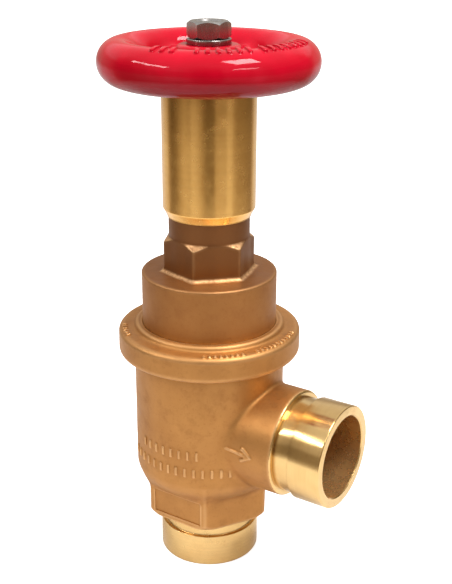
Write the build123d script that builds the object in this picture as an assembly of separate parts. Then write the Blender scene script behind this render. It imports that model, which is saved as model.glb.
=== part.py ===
from build123d import *
import math
import os

# Pressure reducing angle valve, 1 1/2 in, grooved ends. Millimetres.
# Origin: centre of the inlet's end face. +Z up the valve's axis, +X out along the outlet.
# At rest the valve is open: no pressure holds the piston up, so the springs keep it down.
# Screw threads are drawn as plain cylinders at their sliding radius.

# --- fits -----------------------------------------------------------------------------------
RUN = 0.05                    # radial clearance of a sliding or turning fit
FIT = 0.02                    # gap left between parts that touch
OVER = 1.0                    # how far a cutting shape reaches past what it cuts

# --- grooved pipe ends ------------------------------------------------------------------------
PIPE_R = 24.13
PIPE_BORE_R = 19.3
LAND = 15.88                  # pipe end to coupling groove
GROOVE_R = 22.545             # floor of the coupling groove
GROOVE_W = 7.95
SHOULDER = LAND + GROOVE_W    # pipe end to the casting
END_BREAK = 0.6               # broken edge of a pipe end
ROOT = 4.0                    # how far a pipe end is drawn into the casting

# --- body casting -----------------------------------------------------------------------------
HEX_CORNER_R = 32.28          # lower wrench hexagon, one corner towards the outlet
HEX_TOP = 48.0
HEX_CHAMFER_R = 29.9          # where the turned chamfer meets the shoulder
HEX_CHAMFER_TOP = 26.2        # where the turned chamfer reaches a corner
PAD_W = 26.5                  # blank size pad sunk in one hexagon flat
PAD_LOW = 26.4
PAD_HIGH = 38.6
PAD_DEEP = 0.6
BODY_R = 35.5
BODY_LOW = 40.8
BODY_ROUND = 9.0
OUTLET_Z = 69.7
OUTLET_FACE = 73.24
BRANCH_R = 25.25
BRANCH_ROUND = 1.0
BRANCH_FILLET = 2.2           # where the branch meets the body
COLLAR_R = 42.8
COLLAR_LOW = 107.0
COLLAR_HIGH = 119.2
COLLAR_ROUND_LOW = 2.6
COLLAR_ROUND_HIGH = 2.0
LIP_FOOT_R = 36.2             # raised lip around the bonnet
LIP_R = 34.4
LIP_ROUND = 1.2
LIP_HIGH = 121.6
LIP_GAP = 0.35                # between lip and bonnet
ARROW_X = 32.3                # middle of the flow arrow on the branch
ARROW_UP = 1.15               # above the outlet's axis
ARROW_TILT = -6.0             # degrees, its tip hangs a little
ARROW_LONG = 13.4
ARROW_HEAD = 4.6
ARROW_HALF = 0.8
ARROW_HEAD_HALF = 3.2
ARROW_RISE = 0.7

# --- hollows of the body, from the inlet up -----------------------------------------------------
RETAINER_LOW = 8.0            # groove of the inlet's snap ring
RETAINER_HIGH = 9.4
RETAINER_R = 20.2
SPIDER_SHELF = 14.0
THROAT_R = 18.4
THROAT_HIGH = 27.0
DISC_ROOM_R = 22.0            # room around the disc, with 45 degree ends
DISC_ROOM_HIGH = 42.0
SEAT_SHELF = 50.0             # the seat ring screws in from above and rests here
CHAMBER_R = 29.0
CHAMBER_HIGH = 90.0

# --- bonnet -----------------------------------------------------------------------------------
BONNET_LOW = 92.0
BONNET_SEAT = 117.0
BONNET_R = 31.45
BONNET_HIGH = 146.35
BONNET_ROUND = 1.8
BONNET_THREAD_R = 30.5
SEAL_GROOVE_R = 27.6
SEAL_GROOVE_W = 3.4
SEAL_Z = 114.0
SEAL_COIL_R = 29.08
SEAL_SECTION_R = 1.4
CYLINDER_R = 25.0             # bore the piston slides in
CYLINDER_HIGH = 128.0
STOP_LOW = 93.4               # groove of the ring that stops the piston
STOP_HIGH = 94.9
STOP_R = 26.0
NECK_R = 18.67
NECK_BORE_R = 15.3
NECK_BORE_LOW = 137.7
NECK_HIGH = 213.0
NECK_ROUND = 0.8
NECK_HEX_CORNER_R = 21.43
NECK_HEX_HIGH = 163.0
NECK_HEX_CHAMFER = 2.5
NECK_HEX_RISE = 0.2           # the chamfer runs out this far above the hexagon
NECK_HEX_TURN = 44.4          # degrees, one corner from the outlet's direction

# --- sleeve, handwheel and their fasteners --------------------------------------------------------
BARREL_R = 21.2
BARREL_MOUTH_R = 19.0
BARREL_LOW = 172.9
BARREL_EDGE = 177.2
BARREL_END = 222.0            # underside of its closed end
BARREL_HIGH = 231.0
TANG = 15.0                   # square drive under the handwheel
TANG_HIGH = 244.0
PIN_R = 1.5                   # pin that locks the stud in the sleeve
PIN_Z = 226.5
PIN_START = 2.0
PIN_SUNK = 0.4
WHEEL_R = 48.75
RIM_HALF_W = 9.45
RIM_HALF_H = 9.7
RIM_Z = 242.0
RIM_BITE = 3.0                # a spoke ends this far inside the middle of the rim
HUB_R = 14.5
HUB_FLARE = 1.5
HUB_ROUND = 2.2
HUB_HIGH = 249.1
SPOKES = 5
SPOKE_HALF_W = 5.2
SPOKE_HALF_H = 3.6
SPOKE_Z = 241.5
SPOKE_TURN = 16.0             # degrees from the outlet to the first spoke
WASHER_R = 9.8
WASHER_T = 2.4
WASHER_PLAY = 0.2
NUT_CORNER_R = 9.69
NUT_HIGH = 258.9
NUT_TURN = 31.8               # degrees, one corner from the outlet's direction
NUT_FACE = 0.2                # the flat of a nut's face ends this far inside its sides
NUT_CHAMFER = 0.8             # fall of a nut's chamfer for each unit outwards
STUD_R = 5.0
STUD_LOW = 208.0
STUD_HIGH = 258.2
STUD_NOSE_R = 2.5
STUD_NOSE = 1.6
STUD_BREAK = 0.8

# --- seat, spider and closing spring ------------------------------------------------------------
LIFT = 7.0                    # piston travel, open to shut
SEAT_Z = 43.0                 # seating edge, facing down
ORIFICE_R = 13.0
SEAT_EDGE = 1.2               # flat width of the seating edge
SEAT_STEP = 1.4
SEAT_SLOPE_R = 16.8
SEAT_FLANGE_R = 21.0
SEAT_FLANGE_HIGH = 54.0
GASKET_T = 1.0
SPIDER_HIGH = 13.0
SPIDER_RIM_R = 16.6           # inside of the spider's rim
SPIDER_HUB_R = 9.4
SPIDER_NOSE_R = 6.4
SPIDER_NOSE_LOW = 6.0
SPIDER_NOSE_HIGH = 15.0
SPIDER_ARM_W = 3.6
GUIDE_R = 5.2
RETAINER_INNER_R = 17.6
RING_GAP_INLET = 40           # degrees between a snap ring's ends
CLOSING_WIRE_R = 1.0
CLOSING_COIL_R = 8.4
CLOSING_TURNS = 4.5

# --- stem, disc and piston ----------------------------------------------------------------------
STEM_R = 5.0
STEM_TAIL_R = 4.0             # threaded ends
STEM_LOW = 3.0
STEM_HIGH = 126.0
STEM_BREAK = 0.8
DISC_R = 15.0
DISC_TOP = SEAT_Z - LIFT
DISC_LOW = 32.6
HOLDER_LOW = 29.0
HOLDER_R = 16.4
HOLDER_LIP = 35.2
HOLDER_CHAMFER = 1.2
WASHER_HIGH = 37.0            # top of the washer that clamps the disc
DISC_WASHER_R = 9.0
DISC_NUT_CORNER_R = 7.0
DISC_NUT_LOW = 22.8
PISTON_R = CYLINDER_R - 0.1
PISTON_LOW = 96.0
PISTON_HIGH = 110.0
PISTON_BREAK = 0.6
PISTON_HUB_R = 9.0
PISTON_CUP_R = 20.6
PISTON_CUP_HIGH = 99.0
GUIDE_GROOVE_R = 23.3         # groove of the guide ring
GUIDE_LOW = 98.0
GUIDE_HIGH = 101.5
PACKING_GROOVE_R = 21.8       # groove of the piston's O-ring
PACKING_LOW = 104.0
PACKING_HIGH = 107.6
PACKING_SECTION_R = 1.55
PISTON_NUT_CORNER_R = 7.5
PISTON_NUT_HIGH = 123.0
STOP_INNER_R = 22.6           # ring that stops the piston
RING_GAP_PISTON = 30

# --- main spring and its plates -----------------------------------------------------------------
MAIN_WIRE_R = 2.0
MAIN_COIL_R = 12.3
MAIN_TURNS = 9
SPRING_LOW = 113.0
SPRING_HIGH = 200.0
PILOT_R = 9.9                 # the plates' pilots inside the coil
PILOT_TIP_R = 9.4
LOWER_PLATE_R = 14.9
LOWER_PILOT_HIGH = 117.0
UPPER_PILOT_LOW = 194.0
PLATE_HIGH = 206.0
THRUST_R = 7.0                # pocket of the thrust washer
THRUST_FLOOR = 205.0

os.makedirs("parts", exist_ok=True)


# --- shared shapes ------------------------------------------------------------------------------
def turned(points):
    """Solid of revolution about Z from an outline of (radius, height) corners."""
    outline = Plane.XZ * Polyline(*points, close=True)
    return revolve(make_face(outline), Axis.Z, 360)


def ring(outer_r, inner_r, low, high):
    return turned([(inner_r, low), (outer_r, low), (outer_r, high), (inner_r, high)])


def rod(radius, low, high):
    return Pos(0, 0, low) * Cylinder(radius, high - low, align=(Align.CENTER, Align.CENTER, Align.MIN))


def o_ring(coil_r, section_r, height):
    return Pos(0, 0, height) * Torus(coil_r, section_r)


def hexagon(corner_r, low, high, turn=0.0):
    flat = Pos(0, 0, low) * RegularPolygon(corner_r, 6, rotation=turn)
    return extrude(flat, high - low)


def flat_radius(corner_r):
    """From the axis of a hexagon to the middle of its flat."""
    return corner_r * math.cos(math.pi / 6)


def nut(corner_r, bore_r, low, high, turn=0.0):
    """Hexagon nut with the corners of both faces turned off."""
    face_r = flat_radius(corner_r) - NUT_FACE
    drop = (corner_r - face_r) * NUT_CHAMFER
    envelope = turned([
        (0, low), (face_r, low), (corner_r, low + drop), (corner_r, high - drop), (face_r, high), (0, high),
    ])
    return (hexagon(corner_r, low, high, turn) & envelope) - rod(bore_r, low - OVER, high + OVER)


def rounded(solid, radius, height, size):
    """Fillets the circular edge of the given radius at the given height."""
    near = 0.01
    rims = [e for e in solid.edges().filter_by(GeomType.CIRCLE)
            if abs(e.radius - radius) < near and abs(e.arc_center.Z - height) < near]
    return fillet(rims, size)


def coil(wire_r, coil_r, low, high, turns):
    """Open-ended compression spring that fills the height from low to high."""
    rise = high - low - 2 * wire_r - 2 * FIT
    path = Helix(rise / turns, rise, coil_r)
    section = Plane(origin=path.position_at(0), z_dir=path.tangent_at(0)) * Circle(wire_r)
    return Pos(0, 0, low + wire_r + FIT) * sweep(section, path, is_frenet=True)


def snap_ring(outer_r, inner_r, low, high, gap_deg):
    """Spring steel ring with a gap at the back."""
    whole = ring(outer_r, inner_r, low, high)
    half = math.radians(gap_deg / 2)
    reach = outer_r * 2
    notch = Polyline((0, 0), (reach * math.cos(half), reach * math.sin(half)),
                     (reach * math.cos(half), -reach * math.sin(half)), close=True)
    return whole - Pos(0, 0, low - OVER) * Rot(0, 0, 90) * extrude(make_face(notch), high - low + 2 * OVER)


def pipe_end():
    """Grooved pipe end, its face at z = 0 and the casting beyond SHOULDER."""
    return turned([
        (0, 0), (PIPE_R - END_BREAK, 0), (PIPE_R, END_BREAK), (PIPE_R, LAND),
        (GROOVE_R, LAND), (GROOVE_R, SHOULDER + ROOT), (0, SHOULDER + ROOT),
    ])


def along_outlet(solid):
    """Turns a solid drawn up the Z axis to lie on the outlet's axis."""
    return Pos(0, 0, OUTLET_Z) * Rot(0, 90, 0) * solid


# --- casing -------------------------------------------------------------------------------------
def body_barrel():
    """Round middle of the body with its collar and the lip around the bonnet."""
    drum = rod(BODY_R, BODY_LOW, COLLAR_LOW + OVER)
    drum = rounded(drum, BODY_R, BODY_LOW, BODY_ROUND)
    collar = rod(COLLAR_R, COLLAR_LOW, COLLAR_HIGH)
    collar = rounded(collar, COLLAR_R, COLLAR_LOW, COLLAR_ROUND_LOW)
    collar = rounded(collar, COLLAR_R, COLLAR_HIGH, COLLAR_ROUND_HIGH)
    foot = COLLAR_HIGH - OVER
    lip = turned([(0, foot), (LIP_FOOT_R, foot), (LIP_R, LIP_HIGH), (0, LIP_HIGH)])
    lip = rounded(lip, LIP_R, LIP_HIGH, LIP_ROUND)
    return drum + collar + lip


def lower_hexagon():
    reach = HEX_CORNER_R + OVER
    envelope = turned([
        (0, SHOULDER), (HEX_CHAMFER_R, SHOULDER), (HEX_CORNER_R, HEX_CHAMFER_TOP),
        (reach, HEX_CHAMFER_TOP), (reach, HEX_TOP), (0, HEX_TOP),
    ])
    column = hexagon(HEX_CORNER_R, SHOULDER, HEX_TOP) & envelope
    middle = Pos(0, -flat_radius(HEX_CORNER_R), (PAD_LOW + PAD_HIGH) / 2)
    return column - middle * Box(PAD_W, 2 * PAD_DEEP, PAD_HIGH - PAD_LOW)


def branch():
    """Outlet branch of the casting, along +X, with its pipe end."""
    length = OUTLET_FACE - SHOULDER
    stub = rounded(rod(BRANCH_R, 0, length), BRANCH_R, length, BRANCH_ROUND)
    return along_outlet(stub) + Pos(OUTLET_FACE, 0, OUTLET_Z) * Rot(0, -90, 0) * pipe_end()


def body_hollow():
    """Everything cut out of the body on the valve's axis."""
    disc_room_low = THROAT_HIGH + DISC_ROOM_R - THROAT_R
    disc_room_end = DISC_ROOM_HIGH + DISC_ROOM_R - THROAT_R
    return turned([
        (0, -OVER), (PIPE_BORE_R, -OVER), (PIPE_BORE_R, RETAINER_LOW), (RETAINER_R, RETAINER_LOW),
        (RETAINER_R, RETAINER_HIGH), (PIPE_BORE_R, RETAINER_HIGH), (PIPE_BORE_R, SPIDER_SHELF),
        (THROAT_R, SPIDER_SHELF), (THROAT_R, THROAT_HIGH), (DISC_ROOM_R, disc_room_low),
        (DISC_ROOM_R, DISC_ROOM_HIGH), (THROAT_R, disc_room_end), (THROAT_R, SEAT_SHELF),
        (CHAMBER_R, SEAT_SHELF), (CHAMBER_R, CHAMBER_HIGH), (BONNET_THREAD_R + RUN, BONNET_LOW),
        (BONNET_THREAD_R + RUN, BONNET_SEAT), (BONNET_R + LIP_GAP, BONNET_SEAT),
        (BONNET_R + LIP_GAP, LIP_HIGH + OVER), (0, LIP_HIGH + OVER),
    ])


def flow_arrow():
    """Raised arrow on the branch, pointing out of the outlet."""
    tip = ARROW_LONG / 2
    neck = tip - ARROW_HEAD
    outline = Polyline(
        (-tip, ARROW_HALF), (neck, ARROW_HALF), (neck, ARROW_HEAD_HALF), (tip, 0),
        (neck, -ARROW_HEAD_HALF), (neck, -ARROW_HALF), (-tip, -ARROW_HALF), close=True,
    )
    tilted = Rot(0, 0, ARROW_TILT) * make_face(outline)
    start = Pos(ARROW_X, ARROW_HEAD_HALF - BRANCH_R, OUTLET_Z + ARROW_UP) * Rot(90, 0, 0) * tilted
    tall = extrude(start, ARROW_HEAD_HALF + OVER, dir=(0, -1, 0))
    return tall & along_outlet(rod(BRANCH_R + ARROW_RISE, 0, OUTLET_FACE))


def meeting_edges(shell):
    """The long curved edges where the branch runs into the round of the body."""
    low = OUTLET_Z - BRANCH_R - OVER
    high = OUTLET_Z + BRANCH_R + OVER
    return [e for e in shell.edges() if e.geom_type != GeomType.CIRCLE and e.center().X > 0
            and low < e.center().Z < high and e.length > BRANCH_R / 2]


def make_body():
    shell = body_barrel() + branch()
    shell = fillet(meeting_edges(shell), BRANCH_FILLET)
    shell = shell + lower_hexagon() + pipe_end() + flow_arrow()
    return shell - body_hollow() - along_outlet(rod(PIPE_BORE_R, 0, OUTLET_FACE + OVER))


def make_bonnet():
    groove_low = SEAL_Z - SEAL_GROOVE_W / 2
    groove_high = SEAL_Z + SEAL_GROOVE_W / 2
    outside = turned([
        (0, BONNET_LOW), (BONNET_THREAD_R, BONNET_LOW), (BONNET_THREAD_R, groove_low),
        (SEAL_GROOVE_R, groove_low), (SEAL_GROOVE_R, groove_high), (BONNET_THREAD_R, groove_high),
        (BONNET_THREAD_R, BONNET_SEAT + FIT), (BONNET_R, BONNET_SEAT + FIT), (BONNET_R, BONNET_HIGH),
        (0, BONNET_HIGH),
    ])
    outside = rounded(outside, BONNET_R, BONNET_HIGH, BONNET_ROUND)
    neck = rounded(rod(NECK_R, BONNET_HIGH - OVER, NECK_HIGH), NECK_R, NECK_HIGH, NECK_ROUND)
    hex_end = NECK_HEX_HIGH + NECK_HEX_RISE
    envelope = turned([
        (0, BONNET_HIGH - OVER), (NECK_HEX_CORNER_R, BONNET_HIGH - OVER),
        (NECK_HEX_CORNER_R, hex_end - NECK_HEX_CHAMFER), (flat_radius(NECK_HEX_CORNER_R), hex_end),
        (0, hex_end),
    ])
    wrench = hexagon(NECK_HEX_CORNER_R, BONNET_HIGH - OVER, hex_end, NECK_HEX_TURN) & envelope
    hollow = turned([
        (0, BONNET_LOW - OVER), (CYLINDER_R, BONNET_LOW - OVER), (CYLINDER_R, STOP_LOW), (STOP_R, STOP_LOW),
        (STOP_R, STOP_HIGH), (CYLINDER_R, STOP_HIGH), (CYLINDER_R, CYLINDER_HIGH),
        (NECK_BORE_R, NECK_BORE_LOW), (NECK_BORE_R, NECK_HIGH + OVER), (0, NECK_HIGH + OVER),
    ])
    return outside + neck + wrench - hollow


def make_bonnet_o_ring():
    return o_ring(SEAL_COIL_R, SEAL_SECTION_R, SEAL_Z)


# --- seat and inlet parts -----------------------------------------------------------------------
def make_seat_gasket():
    return ring(SEAT_FLANGE_R, THROAT_R + FIT, SEAT_SHELF + FIT, SEAT_SHELF + GASKET_T)


def make_seat_ring():
    outer = THROAT_R - RUN
    flange_low = SEAT_SHELF + GASKET_T + FIT
    step = SEAT_Z + SEAT_STEP
    return turned([
        (ORIFICE_R, SEAT_Z + FIT), (ORIFICE_R + SEAT_EDGE, SEAT_Z + FIT), (ORIFICE_R + 2 * SEAT_EDGE, step),
        (SEAT_SLOPE_R, step), (outer, step + outer - SEAT_SLOPE_R), (outer, flange_low),
        (SEAT_FLANGE_R, flange_low), (SEAT_FLANGE_R, SEAT_FLANGE_HIGH),
        (ORIFICE_R + SEAT_FLANGE_HIGH - SEAT_SHELF - GASKET_T, SEAT_FLANGE_HIGH),
        (ORIFICE_R, SEAT_SHELF + GASKET_T),
    ])


def make_inlet_spider():
    """Four-armed plate in the inlet that carries the stem's guide and the closing spring."""
    low = RETAINER_HIGH + FIT
    plate = rod(PIPE_BORE_R - RUN, low, SPIDER_HIGH)
    window = ring(SPIDER_RIM_R, SPIDER_HUB_R, low - OVER, SPIDER_HIGH + OVER)
    arm = Pos(0, 0, (low + SPIDER_HIGH) / 2) * Box(2 * PIPE_BORE_R, SPIDER_ARM_W, SPIDER_HIGH - low)
    arms = (arm + Rot(0, 0, 90) * arm) & plate
    nose = rod(SPIDER_NOSE_R, SPIDER_NOSE_LOW, SPIDER_NOSE_HIGH)
    return (plate - window) + arms + nose - rod(GUIDE_R, SPIDER_NOSE_LOW - OVER, SPIDER_NOSE_HIGH + OVER)


def make_inlet_snap_ring():
    low = RETAINER_LOW + FIT
    return snap_ring(RETAINER_R - RUN, RETAINER_INNER_R, low, RETAINER_HIGH - FIT, RING_GAP_INLET)


def make_stem_guide():
    """Plain bush in the spider's hub."""
    return ring(GUIDE_R - FIT, STEM_TAIL_R + RUN, SPIDER_NOSE_LOW, SPIDER_NOSE_HIGH)


def make_closing_spring():
    return coil(CLOSING_WIRE_R, CLOSING_COIL_R, SPIDER_HIGH, HOLDER_LOW, CLOSING_TURNS)


# --- piston and stem ----------------------------------------------------------------------------
def make_stem():
    tip = STEM_TAIL_R - STEM_BREAK
    shank_high = PISTON_LOW - FIT
    return turned([
        (0, STEM_LOW), (tip, STEM_LOW), (STEM_TAIL_R, STEM_LOW + STEM_BREAK), (STEM_TAIL_R, WASHER_HIGH),
        (STEM_R, WASHER_HIGH), (STEM_R, shank_high), (STEM_TAIL_R, shank_high),
        (STEM_TAIL_R, STEM_HIGH - STEM_BREAK), (tip, STEM_HIGH), (0, STEM_HIGH),
    ])


def make_disc_nut():
    return nut(DISC_NUT_CORNER_R, STEM_TAIL_R + FIT, DISC_NUT_LOW, HOLDER_LOW - FIT)


def make_disc_holder():
    return turned([
        (STEM_TAIL_R + FIT, HOLDER_LOW), (HOLDER_R - 2 * HOLDER_CHAMFER, HOLDER_LOW),
        (HOLDER_R, HOLDER_LOW + HOLDER_CHAMFER), (HOLDER_R, HOLDER_LIP), (DISC_R + FIT, HOLDER_LIP),
        (DISC_R + FIT, DISC_LOW), (STEM_TAIL_R + FIT, DISC_LOW),
    ])


def make_seat_disc():
    return ring(DISC_R, STEM_TAIL_R + FIT, DISC_LOW + FIT, DISC_TOP)


def make_disc_washer():
    return ring(DISC_WASHER_R, STEM_TAIL_R + FIT, DISC_TOP + FIT, WASHER_HIGH - FIT)


def make_piston():
    bore = STEM_TAIL_R + FIT
    return turned([
        (bore, PISTON_LOW), (PISTON_HUB_R, PISTON_LOW), (PISTON_HUB_R, PISTON_CUP_HIGH),
        (PISTON_CUP_R, PISTON_CUP_HIGH), (PISTON_CUP_R, PISTON_LOW), (PISTON_R, PISTON_LOW),
        (PISTON_R, GUIDE_LOW), (GUIDE_GROOVE_R, GUIDE_LOW), (GUIDE_GROOVE_R, GUIDE_HIGH),
        (PISTON_R, GUIDE_HIGH), (PISTON_R, PACKING_LOW), (PACKING_GROOVE_R, PACKING_LOW),
        (PACKING_GROOVE_R, PACKING_HIGH), (PISTON_R, PACKING_HIGH), (PISTON_R, PISTON_HIGH - PISTON_BREAK),
        (PISTON_R - PISTON_BREAK, PISTON_HIGH), (bore, PISTON_HIGH),
    ])


def make_piston_seal():
    coil_r = PACKING_GROOVE_R + PACKING_SECTION_R + RUN
    return o_ring(coil_r, PACKING_SECTION_R, (PACKING_LOW + PACKING_HIGH) / 2)


def make_piston_guide():
    return ring(CYLINDER_R - RUN, GUIDE_GROOVE_R + FIT, GUIDE_LOW + FIT, GUIDE_HIGH - FIT)


def make_piston_snap_ring():
    return snap_ring(STOP_R - RUN, STOP_INNER_R, STOP_LOW + FIT, STOP_HIGH - FIT, RING_GAP_PISTON)


def make_lower_spring_seat():
    bore = STEM_TAIL_R + FIT
    return turned([
        (bore, PISTON_HIGH + FIT), (LOWER_PLATE_R, PISTON_HIGH + FIT), (LOWER_PLATE_R, SPRING_LOW),
        (PILOT_R, SPRING_LOW), (PILOT_TIP_R, LOWER_PILOT_HIGH), (bore, LOWER_PILOT_HIGH),
    ])


def make_piston_nut():
    return nut(PISTON_NUT_CORNER_R, STEM_TAIL_R + FIT, LOWER_PILOT_HIGH + FIT, PISTON_NUT_HIGH)


# --- spring and its adjustment ------------------------------------------------------------------
def make_main_spring():
    return coil(MAIN_WIRE_R, MAIN_COIL_R, SPRING_LOW, SPRING_HIGH, MAIN_TURNS)


def make_upper_spring_plate():
    outer = NECK_BORE_R - RUN
    return turned([
        (0, UPPER_PILOT_LOW), (PILOT_TIP_R, UPPER_PILOT_LOW), (PILOT_R, SPRING_HIGH), (outer, SPRING_HIGH),
        (outer, PLATE_HIGH), (THRUST_R, PLATE_HIGH), (THRUST_R, THRUST_FLOOR), (0, THRUST_FLOOR),
    ])


def make_thrust_washer():
    return rod(THRUST_R - RUN, THRUST_FLOOR + FIT, STUD_LOW - FIT)


def make_barrel():
    tube = turned([
        (NECK_R + RUN, BARREL_LOW), (BARREL_MOUTH_R, BARREL_LOW), (BARREL_R, BARREL_EDGE),
        (BARREL_R, BARREL_HIGH), (STUD_R + FIT, BARREL_HIGH), (STUD_R + FIT, BARREL_END),
        (NECK_R + RUN, BARREL_END),
    ])
    tang = Pos(0, 0, BARREL_HIGH) * Box(TANG, TANG, TANG_HIGH - BARREL_HIGH,
                                        align=(Align.CENTER, Align.CENTER, Align.MIN))
    stud_hole = rod(STUD_R + FIT, BARREL_END - OVER, TANG_HIGH + OVER)
    return tube + tang - stud_hole - pin_place() * rod(PIN_R, 0, BARREL_R + OVER)


def pin_place():
    """The locking pin lies along +Y, at the back."""
    return Pos(0, 0, PIN_Z) * Rot(-90, 0, 0)


def make_adjusting_stud():
    shank = turned([
        (0, STUD_LOW), (STUD_NOSE_R, STUD_LOW), (STUD_R, STUD_LOW + STUD_NOSE),
        (STUD_R, STUD_HIGH - STUD_BREAK), (STUD_R - STUD_BREAK, STUD_HIGH), (0, STUD_HIGH),
    ])
    return shank - pin_place() * rod(PIN_R, PIN_START, BARREL_R)


def make_stud_pin():
    return pin_place() * rod(PIN_R - FIT, PIN_START + FIT, BARREL_R - PIN_SUNK)


# --- handwheel ----------------------------------------------------------------------------------
def make_handwheel():
    rim_r = WHEEL_R - RIM_HALF_W
    section = Plane.XZ * Pos(rim_r, RIM_Z) * Ellipse(RIM_HALF_W, RIM_HALF_H)
    rim = revolve(section, Axis.Z, 360)
    low = BARREL_HIGH + FIT
    high = HUB_HIGH - FIT
    hub = turned([(0, low), (HUB_R + HUB_FLARE, low), (HUB_R, high), (0, high)])
    hub = rounded(hub, HUB_R, high, HUB_ROUND)
    section = Plane.YZ * Pos(0, SPOKE_Z) * Ellipse(SPOKE_HALF_W, SPOKE_HALF_H)
    spoke = extrude(section, rim_r - RIM_BITE)
    spokes = [Rot(0, 0, 360 * i / SPOKES + SPOKE_TURN) * spoke for i in range(SPOKES)]
    side = TANG + 2 * RUN
    socket = Pos(0, 0, BARREL_HIGH) * Box(side, side, HUB_HIGH - BARREL_HIGH + OVER,
                                          align=(Align.CENTER, Align.CENTER, Align.MIN))
    return rim + hub + spokes - socket


def make_handwheel_washer():
    return ring(WASHER_R, STUD_R + WASHER_PLAY, HUB_HIGH, HUB_HIGH + WASHER_T)


def make_handwheel_nut():
    return nut(NUT_CORNER_R, STUD_R + FIT, HUB_HIGH + WASHER_T + FIT, NUT_HIGH, NUT_TURN)


PIECES = {
    "body": make_body,
    "seat_gasket": make_seat_gasket,
    "seat_ring": make_seat_ring,
    "bonnet": make_bonnet,
    "bonnet_o_ring": make_bonnet_o_ring,
    "piston_snap_ring": make_piston_snap_ring,
    "inlet_spider": make_inlet_spider,
    "inlet_snap_ring": make_inlet_snap_ring,
    "stem_guide": make_stem_guide,
    "closing_spring": make_closing_spring,
    "valve_stem": make_stem,
    "disc_nut": make_disc_nut,
    "disc_holder": make_disc_holder,
    "seat_disc": make_seat_disc,
    "disc_washer": make_disc_washer,
    "piston": make_piston,
    "piston_seal": make_piston_seal,
    "piston_guide": make_piston_guide,
    "lower_spring_seat": make_lower_spring_seat,
    "piston_nut": make_piston_nut,
    "main_spring": make_main_spring,
    "upper_spring_plate": make_upper_spring_plate,
    "thrust_washer": make_thrust_washer,
    "barrel": make_barrel,
    "adjusting_stud": make_adjusting_stud,
    "stud_pin": make_stud_pin,
    "handwheel": make_handwheel,
    "handwheel_washer": make_handwheel_washer,
    "handwheel_nut": make_handwheel_nut,
}

for name, make in PIECES.items():
    export_step(make(), f"parts/{name}.step")
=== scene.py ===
import math

import bmesh
import bpy
import numpy as np
from mathutils import Matrix, Vector


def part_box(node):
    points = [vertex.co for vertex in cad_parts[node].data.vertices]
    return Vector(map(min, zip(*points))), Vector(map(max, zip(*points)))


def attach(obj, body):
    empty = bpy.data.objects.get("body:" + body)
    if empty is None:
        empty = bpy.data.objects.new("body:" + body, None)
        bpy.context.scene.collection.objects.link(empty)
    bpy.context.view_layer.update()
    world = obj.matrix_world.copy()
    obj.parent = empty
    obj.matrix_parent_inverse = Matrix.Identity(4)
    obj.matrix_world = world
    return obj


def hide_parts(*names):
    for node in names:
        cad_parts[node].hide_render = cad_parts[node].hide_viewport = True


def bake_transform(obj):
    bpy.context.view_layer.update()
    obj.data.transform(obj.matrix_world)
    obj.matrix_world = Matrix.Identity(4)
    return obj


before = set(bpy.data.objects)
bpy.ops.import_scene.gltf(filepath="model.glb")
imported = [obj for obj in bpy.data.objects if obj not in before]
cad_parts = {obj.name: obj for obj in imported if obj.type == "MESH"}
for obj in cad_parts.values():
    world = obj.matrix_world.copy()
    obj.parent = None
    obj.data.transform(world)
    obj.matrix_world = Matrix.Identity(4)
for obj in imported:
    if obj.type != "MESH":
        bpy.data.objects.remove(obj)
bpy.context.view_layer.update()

# Everything is in metres. MM turns a drawing size into metres.
MM = 0.001


def low(node):
    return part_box(node)[0]


def high(node):
    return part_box(node)[1]


# --- places taken from the frame ------------------------------------------------------------
OUTLET_FACE = high("body").x
COLLAR_R = -low("body").x
LIP_TOP = high("body").z
BONNET_R = high("bonnet").x
NECK_TOP = high("bonnet").z
BARREL_R = high("barrel").x
BARREL_LOW = low("barrel").z
TANG_TOP = high("barrel").z
WHEEL_R = high("handwheel").x
WHEEL_TOP = high("handwheel").z
HUB_LOW = low("handwheel").z
WASHER_R = high("handwheel_washer").x
WASHER_LOW = low("handwheel_washer").z
WASHER_TOP = high("handwheel_washer").z
NUT_TOP = high("handwheel_nut").z
STUD_TOP = high("adjusting_stud").z

# --- sizes of the design that no box gives --------------------------------------------------
PIPE_R = 24.13 * MM
PIPE_BORE_R = 19.3 * MM
BORE_FLARE = 1.5 * MM
LAND = 15.88 * MM
GROOVE_R = 22.545 * MM
SHOULDER = 23.83 * MM
END_BREAK = 0.6 * MM
HEX_CORNER_R = 32.28 * MM
HEX_CHAMFER_R = 29.9 * MM
HEX_CHAMFER_TOP = 26.2 * MM
HEX_MIDDLE = 35 * MM
PAD_HALF_W = 13.2 * MM
PAD_HALF_H = 6.1 * MM
PAD_Z = 32.5 * MM
PAD_DEPTH = 0.6 * MM
BODY_R = 35.5 * MM
BODY_LOW = 40.8 * MM
BODY_ROUND = 9.0 * MM
OUTLET_Z = 69.7 * MM
BRANCH_R = 25.25 * MM
BRANCH_FILLET = 2.0 * MM
ARROW_X = 32.3 * MM
ARROW_UP = 1.15 * MM
ARROW_TILT = -6.0
ARROW_LONG = 13.0 * MM
ARROW_HEAD = 4.2 * MM
ARROW_HEAD_HALF = 2.9 * MM
COLLAR_LOW = 107.0 * MM
COLLAR_HIGH = 119.2 * MM
COLLAR_OVERLAP = 11 * MM
LIP_R = 34.9 * MM
BONNET_SEAT = 117.0 * MM
BONNET_HIGH = 146.35 * MM
SPIGOT_R = 30.5 * MM
SPIGOT_LOW = 92 * MM
NECK_R = 18.67 * MM
NECK_HEX_R = 21.43 * MM
NECK_HEX_HIGH = 163.0 * MM
NECK_HEX_CHAMFER = 2.5 * MM
NECK_HEX_TURN = math.radians(44.4)
BARREL_EDGE = 177.2 * MM
BARREL_HIGH = 231.0 * MM
TANG = 15.0 * MM
RIM_HALF_W = 9.45 * MM
RIM_HALF_H = 9.7 * MM
HUB_R = 14.5 * MM
HUB_TOP = 249.1 * MM
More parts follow.
